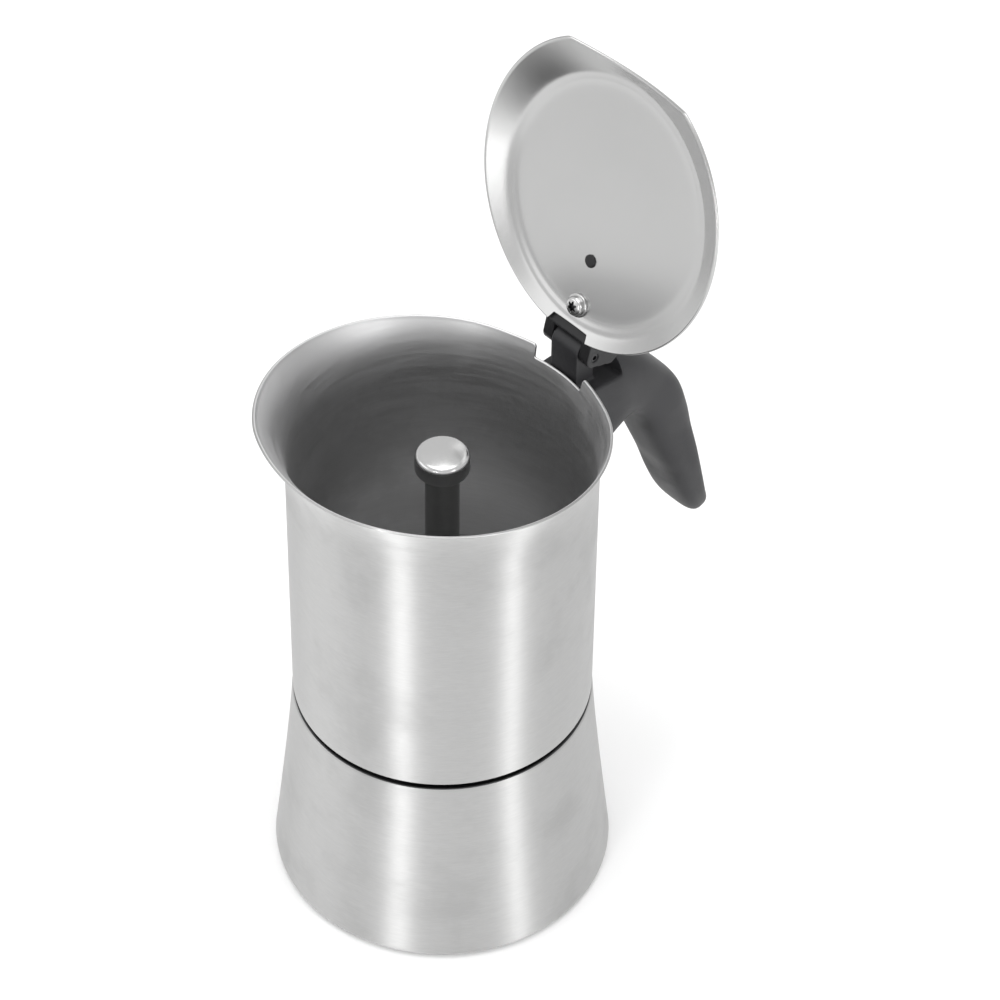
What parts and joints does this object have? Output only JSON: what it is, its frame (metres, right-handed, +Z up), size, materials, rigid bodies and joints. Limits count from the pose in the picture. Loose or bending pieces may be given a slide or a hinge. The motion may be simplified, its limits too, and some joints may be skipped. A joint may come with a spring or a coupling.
{
  "type": "stovetop moka pot",
  "caption": "Stovetop moka pot with a flared boiler, screwed-on collector with a hinged lid, side handle, filter funnel, gasket and safety valve.",
  "frame": {"origin": "centre of the boiler's underside, on the table", "axes": "+Z up along the pot's axis, +X towards the handle, -X towards the spout"},
  "size_m": [0.157, 0.1122, 0.263],
  "materials": {
    "satin_steel": "fine circumferential brushing",
    "lid_steel": "fine straight brushing",
    "polished_steel": "polished",
    "plain_steel": "dull drawn steel",
    "disc_aluminium": "turned",
    "black_plastic": "fine matte grain",
    "valve_brass": "machined",
    "pale_silicone": "soft matte",
    "fibre_washer": "pressed fibre"
  },
  "bodies": {
    "boiler": {"boiler_shell": "satin_steel", "heat_disc": "disc_aluminium", "valve_washer": "fibre_washer", "valve_body": "valve_brass", "valve_nut": "valve_brass", "valve_cap": "plain_steel"},
    "gasket": {"gasket": "pale_silicone"},
    "filter_plate": {"filter_plate": "plain_steel"},
    "collector": {"collector_shell": "satin_steel", "collector_ring": "plain_steel", "collector_floor": "plain_steel", "column": "plain_steel", "column_cap": "polished_steel", "handle_bracket": "plain_steel", "handle": "black_plastic", "handle_screw": "plain_steel", "hinge_pin": "plain_steel"},
    "lid": {"lid": "lid_steel", "lid_lever": "black_plastic", "lid_screw": "polished_steel", "lid_washer": "plain_steel"},
    "funnel": {"funnel": "plain_steel", "funnel_plate": "plain_steel"},
    "valve_piston": {"valve_piston": "plain_steel", "valve_spring": "plain_steel"}
  },
  "joints": [
    {"name": "collector_lift", "type": "slide", "parent": "boiler", "child": "gasket", "axis": [0, 0, 1], "range_m": [0, 0.16]},
    {"name": "collector_rise", "type": "slide", "parent": "gasket", "child": "filter_plate", "axis": [0, 0, 1], "range_m": [0, 0.006]},
    {"name": "collector_unscrew", "type": "hinge", "parent": "filter_plate", "child": "collector", "pos_m": [0, 0, 0.0858], "axis": [0, 0, 1], "range_deg": [0, 720]},
    {"name": "funnel_lift", "type": "slide", "parent": "boiler", "child": "funnel", "axis": [0, 0, 1], "range_m": [0, 0.08]},
    {"name": "lid_hinge", "type": "hinge", "parent": "collector", "child": "lid", "pos_m": [0.0503, 0, 0.17439], "axis": [0, 1, 0], "range_deg": [-103.6, 0]},
    {"name": "valve_piston", "type": "slide", "parent": "boiler", "child": "valve_piston", "axis": [0, 0.9943, 0.1071], "range_m": [0, 0.001], "stiffness_N_per_m": 600}
  ],
  "couplings": [
    {"joint": "collector_rise", "follows": "collector_unscrew", "m_per_rad": 0.00047746},
    {"joint": "funnel_lift", "follows": "collector_lift", "ratio": 0.5}
  ]
}
